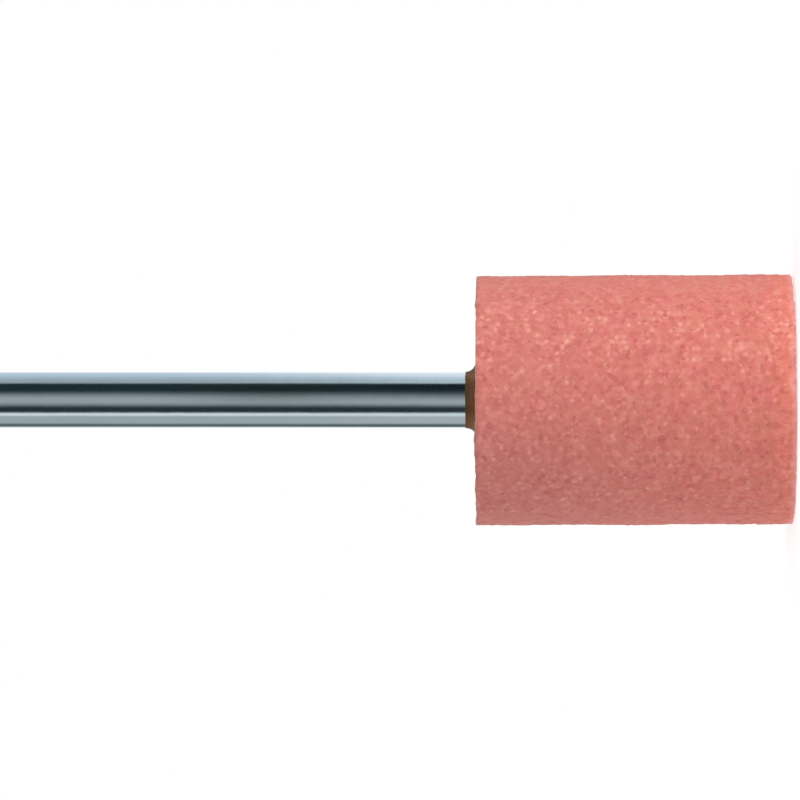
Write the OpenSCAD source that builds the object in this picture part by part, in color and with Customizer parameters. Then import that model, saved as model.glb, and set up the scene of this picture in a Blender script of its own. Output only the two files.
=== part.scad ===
// Cylindrical mounted point: a moulded abrasive head cemented on to a ground steel shank.
// The tool stands on the free end of its head, with its axis and its shank along +Z.
// All sizes are in millimetres.

/* [Abrasive head] */
// Diameter of the abrasive head
head_d = 13.5; // [10:0.1:30]
// Length of the abrasive head
head_l = 17.15; // [12:0.05:50]
// Edge radius at the head's free end
free_edge_r = 0.25; // [0.1:0.05:1]
// Edge radius at the head's shank end
shank_edge_r = 0.08; // [0.04:0.02:0.6]

/* [Shank] */
// Diameter of the ground shank
shank_d = 3; // [2:0.05:6]
// Length of shank that stands out of the head
shank_l = 30; // [20:1:75]
// Chamfer at the shank's free end
shank_chamfer = 0.3; // [0.1:0.05:0.8]

/* [Knurled end] */
// Length of shank that is buried in the head
buried_l = 10; // [5:0.5:11]
// Number of ridges round the knurled end
knurl_count = 20; // [13:1:36]
// Depth of the grooves between the ridges
knurl_depth = 0.15; // [0.05:0.01:0.3]
// How far the tips of the ridges lie below the ground surface
knurl_relief = 0.02; // [0.01:0.01:0.08]
// Length of knurl that runs out of the head, under the bead
knurl_runout = 0.3; // [0.2:0.05:0.35]
// Chamfer at the buried tip of the shank
tip_chamfer = 0.25; // [0.1:0.05:0.6]

/* [Cement] */
// Radial gap between the shank and the hole in the head
cement_gap = 0.2; // [0.16:0.02:0.5]
// Thickness of cement under the shank's tip
cement_floor = 0.3; // [0.1:0.05:0.8]
// Radius of the hollow of the cement bead round the shank
bead_r = 0.55; // [0.4:0.01:1.2]
// Thickness of the bead at its lip and at its foot
bead_edge = 0.03; // [0.02:0.01:0.1]

/* [Hidden] */
$fn = 96;

// How far a cutting shape runs past the face that it cuts, and a joined one into its neighbour
overrun = 0.5;

head_r = head_d / 2;
shank_r = shank_d / 2;
shank_top = head_l + shank_l;
hole_r = shank_r + cement_gap;
tip_z = head_l - buried_l;
hole_floor_z = tip_z - cement_floor;
knurl_top_z = head_l + knurl_runout;
knurl_tip_r = shank_r - knurl_relief;
knurl_root_r = knurl_tip_r - knurl_depth;
bead_foot_r = shank_r + bead_edge + bead_r;
bead_h = bead_edge + bead_r;

// Cuts an outer corner of a section to a quarter round; the corner is at the origin, with its sides
// along -X and -Y
module corner_cut(r) {
    translate([-r, -r])
        difference() {
            square(r + overrun);
            circle(r);
        }
}

// Half section of the head, with the blind hole that takes the shank
module head_section() {
    difference() {
        square([head_r, head_l]);
        translate([0, hole_floor_z])
            square([hole_r, head_l - hole_floor_z + overrun]);
        translate([head_r, 0])
            mirror([0, 1])
                corner_cut(free_edge_r);
        translate([head_r, head_l])
            corner_cut(shank_edge_r);
    }
}

// Half section of all that the cement fills, as if the shank weren't there
module cement_section() {
    translate([0, hole_floor_z])
        square([hole_r, head_l - hole_floor_z]);
    translate([0, head_l])
        difference() {
            square([bead_foot_r, bead_h]);
            translate([bead_foot_r, bead_h])
                circle(bead_r);
        }
}

// Half section of the ground part of the shank, from the end of the knurl to the chamfered free end
module ground_section() {
    polygon([
        [0, knurl_top_z],
        [shank_r, knurl_top_z],
        [shank_r, shank_top - shank_chamfer],
        [shank_r - shank_chamfer, shank_top],
        [0, shank_top]
    ]);
}

// Half section that gives the buried tip its chamfer
module tip_section() {
    polygon([
        [0, tip_z],
        [knurl_tip_r - tip_chamfer, tip_z],
        [knurl_tip_r + overrun, tip_z + tip_chamfer + overrun],
        [knurl_tip_r + overrun, knurl_top_z + overrun],
        [0, knurl_top_z + overrun]
    ]);
}

// Cross section of the straight knurl: ridges and grooves by turns
module knurl_outline() {
    step = 180 / knurl_count;
    polygon([
        for (i = [0 : 2 * knurl_count - 1])
            let (r = i % 2 == 0 ? knurl_tip_r : knurl_root_r)
                [r * cos(i * step), r * sin(i * step)]
    ]);
}

module knurled_end() {
    intersection() {
        translate([0, 0, tip_z])
            linear_extrude(knurl_top_z - tip_z + overrun)
                knurl_outline();
        rotate_extrude()
            tip_section();
    }
}

module shank_body() {
    rotate_extrude()
        ground_section();
    knurled_end();
}

// Pressed and fired abrasive grain, one piece with a blind hole
module abrasive_head() {
    color("salmon")
        rotate_extrude()
            head_section();
}

// Set resin that fills the hole round the knurl and wells up into a bead round the shank
module cement_joint() {
    color("saddlebrown")
        difference() {
            rotate_extrude()
                cement_section();
            shank_body();
        }
}

// Ground steel rod with a knurled end
module shank() {
    color("lightsteelblue")
        shank_body();
}

abrasive_head();
cement_joint();
shank();
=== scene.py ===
import math

import bmesh
import bpy
from mathutils import Matrix, Vector, noise


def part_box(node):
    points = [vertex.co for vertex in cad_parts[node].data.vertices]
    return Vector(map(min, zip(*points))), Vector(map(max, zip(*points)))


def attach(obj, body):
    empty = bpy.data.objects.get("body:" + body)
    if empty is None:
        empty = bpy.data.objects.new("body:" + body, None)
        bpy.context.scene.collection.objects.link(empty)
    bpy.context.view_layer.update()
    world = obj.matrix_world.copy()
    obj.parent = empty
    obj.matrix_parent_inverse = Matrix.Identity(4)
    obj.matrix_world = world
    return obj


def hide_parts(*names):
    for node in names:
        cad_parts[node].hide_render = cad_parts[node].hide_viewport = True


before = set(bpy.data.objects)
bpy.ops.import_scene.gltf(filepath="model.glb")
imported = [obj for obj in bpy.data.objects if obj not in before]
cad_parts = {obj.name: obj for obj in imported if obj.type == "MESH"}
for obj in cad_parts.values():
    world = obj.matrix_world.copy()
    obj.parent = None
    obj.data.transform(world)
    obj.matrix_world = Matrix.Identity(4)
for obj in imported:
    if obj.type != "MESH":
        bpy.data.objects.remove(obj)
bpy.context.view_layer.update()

# Abrasive head: aluminium-oxide grain with a fired clay bond, pressed as one cylinder round a pin that
# leaves a blind hole. Grain stands out all over it, the edge at the free end is worn and chipped, and the
# rim at the shank end is sharp, a little ragged and ashen.
MM = 0.001
head_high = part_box("abrasive_head")[1]
head_r = head_high.x / MM
head_l = head_high.z / MM
hole_r = 1.7
hole_floor_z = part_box("cement_joint")[0].z / MM
face_ring_r = 3.4
head_steps = 192
edge_steps = 6
mesh_step = 0.118
# The even mesh rounds the edges further, so they start out tighter than they end up
free_edge_r = 0.11
shank_edge_r = 0.03
# Tilted grains, a slow sway of the whole surface, and open pores
grain_size = 0.3
grain_relief = 0.024
grain_tilt = 0.03
tone_key = 7.3
lean_key = 5.1
sway_size = 3.5
sway_relief = 0.04
pore_size = 0.6
pore_depth = 0.05
pore_band = (0.3, 0.7)
pore_shift = Vector((31, 7, 53))
# The cylinder runs out a little, and its free end leans
run_out = 0.04
end_lean = 0.035
end_band = (0.2, 1.1)
# Wear and flakes on the free edge. A flake is cut off by a chord: degrees round from the front, half its
# width in degrees, its depth
wear_depth = 0.015
wear_band = (0.15, 0.6)
# How ragged the free edge's colour bands are, which are partly wear and partly painted light
ragged_edge_tint = 0.4
chip_slope = 0.25
ragged_chip = 0.1
chips = (
    (90, 41, 0.04),
    (-80, 22, 0.02),
    (-31, 12, 0.02),
    (20, 14, 0.05),
    (171, 24, 0.08),
    (-128, 16, 0.11),
)
# Nicks in the rim at the shank end, swells along it, and the face that falls off a little towards it
nick_size = 0.7
nick_depth = 0.05
nick_band = (0.05, 0.3)
nick_share = (0.0, 0.5)
nick_shift = Vector((5, 91, 17))
rim_size = 1.8
rim_rise = 0.155
rim_band = (0.15, 0.9)
rim_shift = Vector((66.6, 10.6, 154.7))
crisp_gap = 0.01
crisp_share = 0.8
fall_depth = 0.025
fall_reach = (2.4, 4.5)
fall_skin = (1, 0.1)
merge_gap = 1e-5


def quarter(centre_r, centre_z, radius, start, turn, steps):
    """Points of an arc in a half section: radius round a centre, from the start angle through the turn."""
    angles = [start + turn * i / steps for i in range(steps + 1)]
    return [(centre_r + radius * math.cos(a), centre_z + radius * math.sin(a)) for a in angles]


def spun(section, steps):
    """A bmesh, in millimetres, of a half section of (radius, height) points turned round the tool's axis."""
    form = bmesh.new()
    points = [form.verts.new((r, 0, z)) for r, z in section]
    lines = [form.edges.new(pair) for pair in zip(points, points[1:])]
    bmesh.ops.spin(
        form, geom=points + lines, cent=(0, 0, 0), axis=(0, 0, 1), dvec=(0, 0, 0),
        angle=2 * math.pi, steps=steps, use_merge=True,
    )
    bmesh.ops.remove_doubles(form, verts=form.verts, dist=merge_gap)
    bmesh.ops.recalc_face_normals(form, faces=form.faces)
    return form


def placed(form, name):
    """A new object with the mesh of a bmesh, which is used up."""
    mesh = bpy.data.meshes.new(name)
    form.to_mesh(mesh)
    form.free()
    made = bpy.data.objects.new(name, mesh)
    bpy.context.scene.collection.objects.link(made)
    return made


def piece_from(form, name):
    """A smooth-shaded piece, in metres, from a bmesh in millimetres."""
    bmesh.ops.scale(form, vec=(MM, MM, MM), verts=form.verts)
    made = placed(form, name)
    made.data.shade_smooth()
    return made


def smooth_step(low, high, value):
    """0 below low, 1 above high, and an even curve between them."""
    share = min(1.0, max(0.0, (value - low) / (high - low)))
    return share * share * (3 - 2 * share)


right_angle = math.pi / 2
head_section = [(0, 0), (face_ring_r, 0)]
head_section += quarter(
    head_r - free_edge_r, free_edge_r, free_edge_r, -right_angle, right_angle, edge_steps,
)
head_section += quarter(
    head_r - shank_edge_r, head_l - shank_edge_r, shank_edge_r, 0, right_angle, edge_steps,
)
head_section += [(hole_r, head_l), (hole_r, hole_floor_z), (0, hole_floor_z)]

blank = placed(spun(head_section, head_steps), "head_blank")
even_mesh = blank.modifiers.new("even_mesh", "REMESH")
even_mesh.mode = "VOXEL"
even_mesh.voxel_size = mesh_step
graph = bpy.context.evaluated_depsgraph_get()
head_form = bmesh.new()
head_form.from_mesh(blank.evaluated_get(graph).to_mesh())
bpy.data.objects.remove(blank)

head_form.normal_update()
tone_layer = head_form.verts.layers.float.new("grain_tone")
gap_layer = head_form.verts.layers.float.new("edge_gap")
for point in head_form.verts:
    spot = point.co.copy()
    reach = math.hypot(spot.x, spot.y)
    if reach < hole_r + mesh_step and spot.z > hole_floor_z - mesh_step:
        continue
    centre = noise.voronoi(spot / grain_size)[1][0]
    tone = noise.cell(centre * tone_key)
    lean = noise.cell_vector(centre * lean_key) - Vector((0.5, 0.5, 0.5))
    height = grain_relief * (tone - 0.5) + grain_tilt * lean.dot(spot / grain_size - centre)
    height += sway_relief * noise.noise(spot / sway_size)
    height -= pore_depth * smooth_step(*pore_band, noise.noise(spot / pore_size + pore_shift))
    to_free_edge = math.hypot(spot.z, head_r - reach)
    to_shank_edge = math.hypot(head_l - spot.z, head_r - reach)
    rough = noise.noise(spot / nick_size + nick_shift)
    wear = (1 - smooth_step(*wear_band, to_free_edge)) * (1 - abs(point.normal.z))
    nick = (1 - smooth_step(*nick_band, to_shank_edge)) * smooth_step(*nick_share, rough)
    shift = point.normal * (height - wear_depth * wear - nick_depth * nick)
    shift.x += run_out * (1 - 2 * spot.z / head_l)
    if spot.z < mesh_step:
        shift.z = max(shift.z, 0)
    # The even mesh cuts the rim's corner off, so the points on that cut go most of the way back to it
    if to_shank_edge < mesh_step and min(head_r - reach, head_l - spot.z) > crisp_gap:
        corner = Vector((spot.x * head_r / reach, spot.y * head_r / reach, head_l))
        shift += crisp_share * (corner - spot)
    near_rim = 1 - smooth_step(*rim_band, to_shank_edge)
    shift.z += rim_rise * near_rim * max(0.0, noise.noise(spot / rim_size + rim_shift))
    near_face = smooth_step(head_l - fall_skin[0], head_l - fall_skin[1], spot.z)
    shift.z -= fall_depth * smooth_step(*fall_reach, reach) * near_face
    near_end = 1 - smooth_step(*end_band, spot.z)
    shift.z += end_lean * (1 + spot.x / head_r) * near_end
    for middle, half_width, depth in chips:
        outward = spot.x * math.sin(math.radians(middle)) - spot.y * math.cos(math.radians(middle))
        chord = head_r * math.cos(math.radians(half_width))
        shift.z += depth * smooth_step(chord, chord + chip_slope, outward + ragged_chip * rough) * near_end
    point[tone_layer] = tone
    point[gap_layer] = to_free_edge * (1 + ragged_edge_tint * rough)
    point.co += shift

pink_head = piece_from(head_form, "pink_head")


def feed(socket, value):
    """Sets a socket, or links a Wire to it."""
    if isinstance(value, Wire):
        value.tree.links.new(value.socket, socket)
    else:
        socket.default_value = value


class Wire:
    """A socket in a node tree. Arithmetic on it adds Math nodes, and node() adds a node of any other type."""

    def __init__(self, tree, socket=None):
        self.tree = tree
        self.socket = socket

    def node(self, kind, settings, sockets, output=0):
        """Adds a node: its settings first, then its sockets by identifier, each a value or another Wire."""
        made = self.tree.nodes.new(kind)
        for name, value in settings.items():
            setattr(made, name, value)
        for name, value in sockets.items():
            feed(next(s for s in made.inputs if s.identifier == name), value)
        return Wire(self.tree, made.outputs[output])

    def math(self, operation, *values):
        sockets = dict(zip(("Value", "Value_001"), values))
        return self.node("ShaderNodeMath", {"operation": operation}, sockets)

    def __add__(self, other):
        return self.math("ADD", self, other)

    def __radd__(self, other):
        return self.math("ADD", other, self)

    def __sub__(self, other):
        return self.math("SUBTRACT", self, other)

    def __rsub__(self, other):
        return self.math("SUBTRACT", other, self)

    def __mul__(self, other):
        return self.math("MULTIPLY", self, other)

    def __rmul__(self, other):
        return self.math("MULTIPLY", other, self)

    def ramp(self, low, high):
        """0 where the value is below low, 1 above high, and an even curve between them."""
        return self.node(
            "ShaderNodeMapRange",
            {"interpolation_type": "SMOOTHSTEP"},
            {"Value": self, "From Min": low, "From Max": high},
        )

    def mix(self, first, second):
        """The first colour where the value is 0, the second where it is 1."""
        return self.node(
            "ShaderNodeMix",
            {"data_type": "RGBA"},
            {"Factor_Float": self, "A_Color": first, "B_Color": second},
            output=2,
        )

    def axis(self, index):
        """The x, y or z of a vector."""
        return self.node("ShaderNodeSeparateXYZ", {}, {"Vector": self}, index)

    def vector(self, operation, **others):
        """Vector Math on this vector. A length comes out as a value, anything else as a vector."""
        output = 1 if operation == "LENGTH" else 0
        return self.node("ShaderNodeVectorMath", {"operation": operation}, {"Vector": self, **others}, output)

    def mottle(self, scale, detail, roughness=0.5, output=0):
        """Soft noise over a place, with about so many blobs to its unit."""
        sockets = {"Vector": self, "Scale": scale, "Detail": detail, "Roughness": roughness}
        return self.node("ShaderNodeTexNoise", {}, sockets, output)

    def bump(self, strength, depth):
        """A normal that follows this value as a height."""
        return self.node("ShaderNodeBump", {}, {"Strength": strength, "Distance": depth, "Height": self})


def new_material(name):
    """A node material with a lone Principled shader: the material, its Object coordinates, the shader."""
    made = bpy.data.materials.new(name)
    made.use_nodes = True
    tree = made.node_tree
    return made, Wire(tree).node("ShaderNodeTexCoord", {}, {}, output=3), tree.nodes["Principled BSDF"]


def linear(red, green, blue):
    """A colour for a socket, from the sRGB values 0 to 255 that a picture of it would show."""
    shares = [value / 255 for value in (red, green, blue)]
    return tuple(s / 12.92 if s <= 0.04045 else ((s + 0.055) / 1.055) ** 2.4 for s in shares) + (1.0,)


def grains(place, scale):
    """A random tone from 0 to 1 for each grain, with soft bounds, and about so many grains to a metre."""
    sockets = {"Vector": place, "Scale": scale, "Smoothness": 0.15}
    tint = place.node("ShaderNodeTexVoronoi", {"feature": "SMOOTH_F1"}, sockets, output=1)
    return place.node("ShaderNodeSeparateColor", {}, {"Color": tint})


pale_pink = linear(255, 184, 172)
deep_pink = linear(160, 68, 60)
warm_pink = linear(218, 128, 111)
cool_pink = linear(219, 118, 110)
# Painted light: the next three colours give shade towards the shank end, a warm glow near the free edge, and
# a pale edge that is partly wear
shaded_pink = linear(201, 121, 113)
glow_pink = linear(227, 125, 109)
worn_lit_pink = linear(237, 150, 143)
grey_rim = linear(146, 124, 114)

stone, place, shader = new_material("fired_pink_grain")
jitter = place.mottle(7 / MM, 1, output=1).vector("SUBTRACT", Vector_001=(0.5, 0.5, 0.5))
ragged = place.vector("ADD", Vector_001=jitter.vector("SCALE", Scale=0.14 * MM))
coarse = grains(ragged, 2.9 / MM)
fine = grains(ragged, 4.6 / MM)
hue = ragged.mottle(1.4 / MM, 1).ramp(0.3, 0.7)
cloud = place.mottle(1.5 / MM, 2, 0.6)
drift = place.mottle(0.3 / MM, 2)
tone = place.node("ShaderNodeAttribute", {"attribute_name": "grain_tone"}, {}, output=2)
edge_gap = place.node("ShaderNodeAttribute", {"attribute_name": "edge_gap"}, {}, output=2)
across = place.axis(0)
along = place.axis(2)
drifted = across + 2 * MM * (drift - 0.5)

# Pale specks, thicker and more of them along the +x flank, where the extra ones are painted glints of the
# light on that side
glint_flank = drifted.ramp(0.6 * MM, 3.2 * MM) * (1.0 - drifted.ramp(4.2 * MM, 5.5 * MM))
cells = {"Vector": ragged, "Scale": 3.2 / MM}
speck_far = place.node("ShaderNodeTexVoronoi", {}, cells)
speck_kind = place.node("ShaderNodeTexVoronoi", {}, cells, output=1)
speck_kind = place.node("ShaderNodeSeparateColor", {}, {"Color": speck_kind})
speck = 1.0 - speck_far.ramp(0.05, 0.6 + 0.25 * glint_flank)
speck = speck * speck_kind.ramp(0.55 - 0.05 * glint_flank, 1.0 - 0.1 * glint_flank)

# How far a grain is paler or deeper than the stone: each pattern with its strength, then specks and pits,
# stronger on the lit flank as painted glints and shade, and a paler worn edge that is partly painted light,
# all calmer on the two sides
lift = -0.01
for pattern, strength in ((coarse, 0.20), (fine, 0.22), (cloud, 0.28), (drift, 0.15), (tone, 0.08)):
    lift = lift + strength * (pattern - 0.5)
lift = lift + (0.36 + 0.10 * glint_flank) * speck
lift = lift - (0.16 + 0.06 * glint_flank) * fine.ramp(0.2, 0.0)
lift = lift + 0.1 * edge_gap.ramp(0.75, 0.0)
calm = place.math("ABSOLUTE", across).ramp(5.1 * MM, 6.4 * MM)
lift = lift * (1.0 - 0.4 * calm)

# The stone's colour: greyer and darker towards the shank end, most on the -x side, which is painted shade; a
# redder band near the free edge, which is a painted warm glow of light from that end; paler at the very edge,
# partly wear and partly painted light; and a grey rim at the shank end
colour = hue.mix(warm_pink, cool_pink)
shank_end_shade = along.ramp(0.0, head_high.z) * (0.45 + 0.4 * drifted.ramp(2 * MM, -5 * MM))
colour = shank_end_shade.mix(colour, shaded_pink)
colour = edge_gap.ramp(1.8, 0.4).mix(colour, glow_pink)
colour = edge_gap.ramp(0.4, 0.0).mix(colour, worn_lit_pink)
reach = place.vector("MULTIPLY", Vector_001=(1, 1, 0)).vector("LENGTH")
rim = along.ramp(head_high.z - 0.24 * MM, head_high.z - 0.07 * MM)
rim = rim * reach.ramp(head_high.x - 0.4 * MM, head_high.x - 0.1 * MM)
colour = (rim * (0.3 + 0.4 * hue)).mix(colour, grey_rim)
colour = place.math("MAXIMUM", lift, 0.0).mix(colour, pale_pink)
colour = place.math("MAXIMUM", -1.0 * lift, 0.0).mix(colour, deep_pink)
feed(shader.inputs["Base Color"], colour)
feed(shader.inputs["Roughness"], 0.88)
feed(shader.inputs["Normal"], place.mottle(9 / MM, 2, 0.6).bump(0.2, 0.03 * MM))
pink_head.data.materials.append(stone)
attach(pink_head, "root")
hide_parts("abrasive_head")

# Shank: a steel rod, centreless ground to size and lightly polished, with a turned chamfer at its free end.
# Its other end is knurled and sits in the head's hole, where the cement holds it.
shank_low, shank_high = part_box("shank")
shank_r = shank_high.x / MM
shank_top = shank_high.z / MM
tip_z = shank_low.z / MM
shank_chamfer = 0.3
corner_round = 0.05
corner_segments = 3
tip_chamfer = 0.25
knurl_count = 20
knurl_relief = 0.02
knurl_depth = 0.15
knurl_runout = 0.3
knurl_tip_r = shank_r - knurl_relief
knurl_root_r = knurl_tip_r - knurl_depth
knurl_top_z = head_l + knurl_runout
shank_steps = 160
shank_sharp = math.radians(25)
hair = 1e-4
dim_patch_middle = (0.25, -1.48, 28.2)
dim_patch_reach = (0.75, 2.0, 7.5)


def knurl_r(angle):
    """Radius of the straight knurl's outline at an angle: flat flanks between the tips and the roots."""
    half = math.pi / knurl_count
    turn = angle % (2 * half)
    turn = min(turn, 2 * half - turn)
    blend = knurl_root_r * math.sin(half - turn) + knurl_tip_r * math.sin(turn)
    return knurl_tip_r * knurl_root_r * math.sin(half) / blend


def cut_knurl(form):
    """Draws in what lies within the ridges' tips to the outline of the knurl."""
    for point in form.verts:
        reach = math.hypot(point.co.x, point.co.y)
        if 0 < reach < knurl_tip_r + hair and point.co.z < knurl_top_z + hair:
            share = min(1.0, knurl_r(math.atan2(point.co.y, point.co.x)) / reach)
            point.co.x *= share
            point.co.y *= share


knurl_section = [
    (0, tip_z),
    (knurl_tip_r - tip_chamfer, tip_z),
    (knurl_tip_r, tip_z + tip_chamfer),
    (knurl_tip_r, knurl_top_z),
    (shank_r, knurl_top_z),
]
shank_section = knurl_section + [
    (shank_r, shank_top - shank_chamfer),
    (shank_r - shank_chamfer, shank_top),
    (0, shank_top),
]
shank_form = spun(shank_section, shank_steps)
cut_knurl(shank_form)
chamfer_rings = [
    line for line in shank_form.edges
    if all(p.co.z > shank_top - shank_chamfer - hair for p in line.verts)
    and abs(line.verts[0].co.z - line.verts[1].co.z) < hair
    and all(math.hypot(p.co.x, p.co.y) > hair for p in line.verts)
]
bmesh.ops.bevel(
    shank_form, geom=chamfer_rings, offset=corner_round, offset_type="OFFSET", affect="EDGES",
    segments=corner_segments, profile=0.5, material=-1,
)
steel_shank = piece_from(shank_form, "steel_shank")
steel_shank.data.set_sharp_from_angle(angle=shank_sharp)

# Fine rings from the grinding wheel, smears along the rod, slow waves, and one faint darker patch in front,
# which is a painted dim reflection
pale_steel = (0.60, 0.67, 0.70, 1)
plain_steel = (0.56, 0.63, 0.66, 1)
# Colour of the painted dim reflection in front
dim_reflection_steel = (0.405, 0.46, 0.475, 1)
ring_scale = (0.3 / MM, 0.3 / MM, 16 / MM)
smear_scale = (0.9 / MM, 0.9 / MM, 0.12 / MM)
dim_patch_scale = [1 / (far * MM) for far in dim_patch_reach]
dim_patch_shift = [-middle / far for middle, far in zip(dim_patch_middle, dim_patch_reach)]

steel, place, shader = new_material("ground_steel")
rings = place.node("ShaderNodeMapping", {}, {"Vector": place, "Scale": ring_scale}).mottle(1, 3, 0.6)
smears = place.node("ShaderNodeMapping", {}, {"Vector": place, "Scale": smear_scale}).mottle(1, 2)
waves = place.mottle(1 / MM, 1)
dim_reflection = {"Vector": place, "Location": dim_patch_shift, "Scale": dim_patch_scale}
dim_reflection = place.node("ShaderNodeMapping", {}, dim_reflection).vector("LENGTH").ramp(1.0, 0.0)
colour = smears.ramp(0.3, 0.7).mix(plain_steel, pale_steel)
feed(shader.inputs["Base Color"], dim_reflection.mix(colour, dim_reflection_steel))
feed(shader.inputs["Metallic"], 1.0)
feed(shader.inputs["Roughness"], 0.10 + 0.08 * rings)
feed(shader.inputs["Normal"], (0.2 * rings + smears + 2.5 * waves).bump(0.25, 0.01 * MM))
steel_shank.data.materials.append(steel)
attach(steel_shank, "root")
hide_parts("shank")

# Cement: brown resin, poured into the hole round the knurl and set. It has crept up the shank a little and
# out over the head's face, so that it shows as a bead with a hollow profile and an uneven foot.
cement_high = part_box("cement_joint")[1]
lip_z = cement_high.z / MM
foot_r = cement_high.x / MM
bead_edge = 0.03
bead_r = lip_z - head_l - bead_edge
bead_steps = 14
bead_sharp = math.radians(35)
lip_sway = 0.03
lip_lobes = 2.1
lip_shift = Vector((11, 2, 0))
foot_sway = 0.06
foot_lobes = 1.6
foot_shift = Vector((3, 8, 0))
foot_lean = 0.06

cement_section = [(0, hole_floor_z), (hole_r, hole_floor_z), (hole_r, head_l), (foot_r, head_l)]
cement_section += quarter(foot_r, lip_z, bead_r, -right_angle, -right_angle, bead_steps)
cement_section += [(shank_r, lip_z)] + knurl_section[::-1]
cement_form = spun(cement_section, shank_steps)
cut_knurl(cement_form)
for point in cement_form.verts:
    spot = point.co.copy()
    reach = math.hypot(spot.x, spot.y)
    if spot.z > head_l - hair and reach > shank_r + hair:
        around = Vector((spot.x / reach, spot.y / reach, 0))
        spread = (reach - shank_r) / (foot_r - shank_r)
        rise = (spot.z - head_l) / (lip_z - head_l)
        sway = foot_sway * noise.noise(around * foot_lobes + foot_shift) + foot_lean * (around.x - 1)
        point.co += around * (sway * spread)
        point.co.z += lip_sway * rise * noise.noise(around * lip_lobes + lip_shift)
brown_cement = piece_from(cement_form, "brown_cement")
brown_cement.data.set_sharp_from_angle(angle=bead_sharp)

olive_brown = linear(76, 62, 38)
red_brown = linear(95, 44, 26)
cloudy_brown = linear(102, 70, 42)
sheen_brown = linear(115, 84, 57)
dark_brown = linear(74, 58, 34)

# Redder at its foot, cloudy all over, paler on the two sides as a painted sheen, and dark at the edge of one
# of them
resin, place, shader = new_material("set_brown_resin")
cloud = place.mottle(1.5 / MM, 3)
across = place.axis(0)
low_down = 1.0 - place.axis(2).ramp(head_high.z, head_high.z + 0.5 * MM)
brown = low_down.mix(olive_brown, red_brown)
brown = (0.3 * cloud.ramp(0.35, 0.75)).mix(brown, cloudy_brown)
# The paler sides are a painted sheen of grazing light
sheen_sides = place.math("ABSOLUTE", across - 0.12 * MM).ramp(0.5 * MM, 1.6 * MM)
brown = sheen_sides.mix(brown, sheen_brown)
brown = (0.85 * across.ramp(1.33 * MM, 1.55 * MM)).mix(brown, dark_brown)
feed(shader.inputs["Base Color"], brown)
feed(shader.inputs["Specular IOR Level"], 0.1)
feed(shader.inputs["Roughness"], 0.45 + 0.2 * cloud)
feed(shader.inputs["Normal"], cloud.bump(0.2, 0.02 * MM))
brown_cement.data.materials.append(resin)
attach(brown_cement, "root")
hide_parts("cement_joint")

# Stage: a light table under the head, a white studio round it, and one soft lamp in front. The table glows
# and takes the object's shadow, but only the camera sees it: the light that it would throw back comes from
# the studio's lower half.
floor_half = 3000
own_glow = 0.6
grey_paper = (0.94, 0.94, 0.94, 1)
white_paper = (0.96, 0.96, 0.96, 1)
floor_form = bmesh.new()
bmesh.ops.create_grid(floor_form, x_segments=1, y_segments=1, size=floor_half)
floor = piece_from(floor_form, "floor")
paper, place, shader = new_material("white_paper")
feed(shader.inputs["Base Color"], place.mottle(0.4 / MM, 2).mix(grey_paper, white_paper))
feed(shader.inputs["Roughness"], 0.9)
lit = Wire(place.tree, shader.outputs["BSDF"])
glow = place.node("ShaderNodeEmission", {}, {})
table_top = place.node("ShaderNodeMixShader", {}, {"Fac": own_glow, "Shader": lit, "Shader_001": glow})
feed(place.tree.nodes["Material Output"].inputs["Surface"], table_top)
floor.data.materials.append(paper)
floor.visible_diffuse = False
floor.visible_glossy = False
floor.visible_shadow = False

studio = bpy.data.worlds.new("studio")
studio.use_nodes = True
studio.cycles.sampling_method = "NONE"
bpy.context.scene.world = studio
start = Wire(studio.node_tree)
way = start.node("ShaderNodeTexCoord", {}, {}, output=0)
way_x = way.axis(0)
way_y = way.axis(1)
way_z = way.axis(2)
seen = start.node("ShaderNodeLightPath", {}, {}, output=0)
glossy = start.node("ShaderNodeLightPath", {}, {}, output=3)

# The soft light is strongest from one side in front, and the white table throws some back from below
room_light = 0.905
side_light = 0.05
back_light = 0.24
slant_light = 1.13
table_light = 0.4
from_below = start.math("MAXIMUM", -1.0 * way_z, 0.0)
soft_light = room_light + side_light * way_x + back_light * way_y - slant_light * way_x * way_y
soft_light = soft_light + table_light * from_below
soft_colour = {"Red": soft_light, "Green": soft_light, "Blue": soft_light}
soft_colour = start.node("ShaderNodeCombineColor", {}, soft_colour)

# What the polished shank mirrors: a white room with panels and black flags set up round the axis. Most have
# one colour where they are mirrored near the head, and another at the shank's free end
round_axis = start.math("ARCTAN2", way_x, -1.0 * way_y) * math.degrees(1)
far_along = way_z.ramp(0.02, 0.08)
white = (1, 1, 1, 1)
upper_panel = far_along.mix((0.68, 0.77, 0.85, 1), (0.46, 0.55, 0.60, 1))
upper_glow = far_along.mix((1.08, 1.14, 1.22, 1), (0.74, 0.83, 0.94, 1))
lower_panel = far_along.mix((0.595, 0.635, 0.66, 1), (0.50, 0.55, 0.562, 1))
lower_flag = (0.12, 0.16, 0.17, 1)
bright_strip = far_along.mix((0.88, 0.94, 0.96, 1), (1.0, 1.06, 1.08, 1))
upper_flag = far_along.mix((0.003, 0.010, 0.017, 1), (0.016, 0.034, 0.037, 1))
front_flag = (0.022, 0.038, 0.043, 1)
front_panel = far_along.mix((0.53, 0.57, 0.59, 1), (0.46, 0.50, 0.52, 1))
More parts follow.
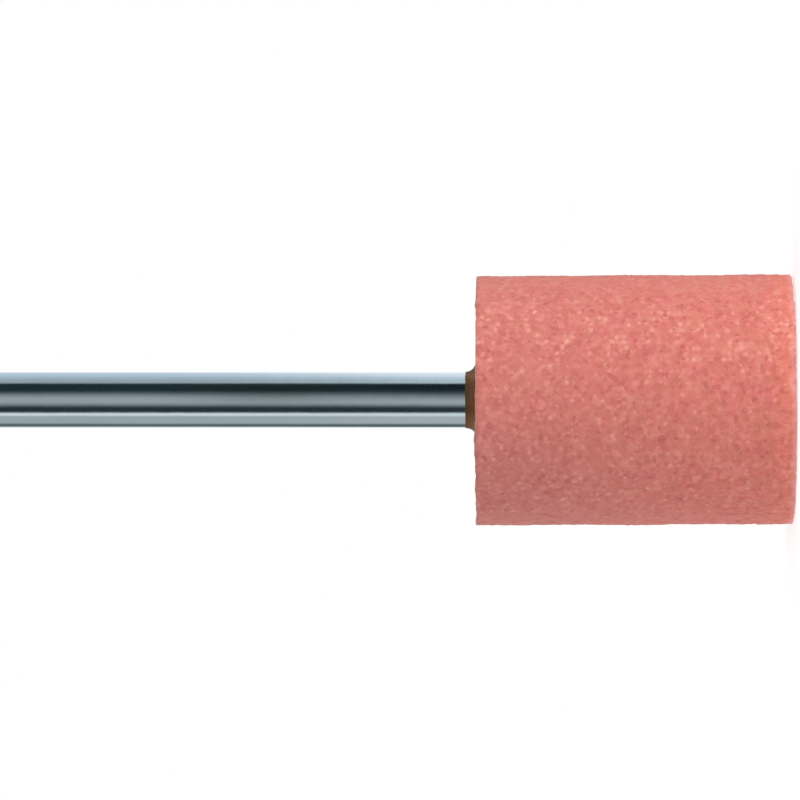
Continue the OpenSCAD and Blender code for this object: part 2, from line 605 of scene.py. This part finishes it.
# From the back of the set to its front: the angle where each begins, the width of its soft edge there, the
# angle where it ends, the width of that edge, and its colour. Angles are degrees round from the front
panels = (
    (76.5, 5, 167, 8, upper_panel),
    (108, 50, 167, 8, upper_glow),
    (-160, 14, -69, 8, lower_panel),
    (-153 + 8 * far_along, 12, -119, 20, lower_flag),
    (-72 + 3 * far_along, 8, -55.5, 8, bright_strip),
    (-55.5, 11, 73.5 + 2.5 * far_along, 10, upper_flag),
    (-50, 14, 44, 34, front_flag),
    (-23 + 2 * far_along, 28, 10.5 + 12 * far_along, 60 - 20 * far_along, front_panel),
)
mirrored = white
for low, low_edge, high, high_edge, colour in panels:
    cover = round_axis.ramp(low - 0.5 * low_edge, low + 0.5 * low_edge)
    cover = cover * (1.0 - round_axis.ramp(high - 0.5 * high_edge, high + 0.5 * high_edge))
    mirrored = cover.mix(mirrored, colour)
shown = seen.mix(glossy.mix(soft_colour, mirrored), white)
feed(studio.node_tree.nodes["Background"].inputs["Color"], shown)

lamp_light = 0.35
lamp_spread = math.radians(14)
lamp_way = Vector((0.05, -0.5, 0.866))
lamp_data = bpy.data.lights.new("front_lamp", "SUN")
lamp_data.energy = lamp_light * math.pi
lamp_data.angle = lamp_spread
lamp = bpy.data.objects.new("front_lamp", lamp_data)
lamp.rotation_mode = "QUATERNION"
lamp.rotation_quaternion = lamp_way.to_track_quat("Z", "Y")
bpy.context.scene.collection.objects.link(lamp)

# Camera: level with the head, rolled a quarter turn, so that the shank runs out of the picture on the left.
# The picture's width is measured at the tool's axis.
view_distance = 0.35
eye_height = 0.0125
aim_height = 0.02128
picture_width = 0.0433
camera_data = bpy.data.cameras.new("camera")
camera_data.sensor_width = 36
camera_data.lens = camera_data.sensor_width * view_distance / picture_width
camera = bpy.data.objects.new("camera", camera_data)
eye = Vector((0, -view_distance, eye_height))
back = (eye - Vector((0, 0, aim_height))).normalized()
upward = Vector((1, 0, 0))
rightward = upward.cross(back)
camera.matrix_world = Matrix.Translation(eye) @ Matrix((rightward, upward, back)).transposed().to_4x4()
bpy.context.scene.collection.objects.link(camera)
bpy.context.scene.camera = camera
bpy.context.scene.view_settings.view_transform = "Standard"
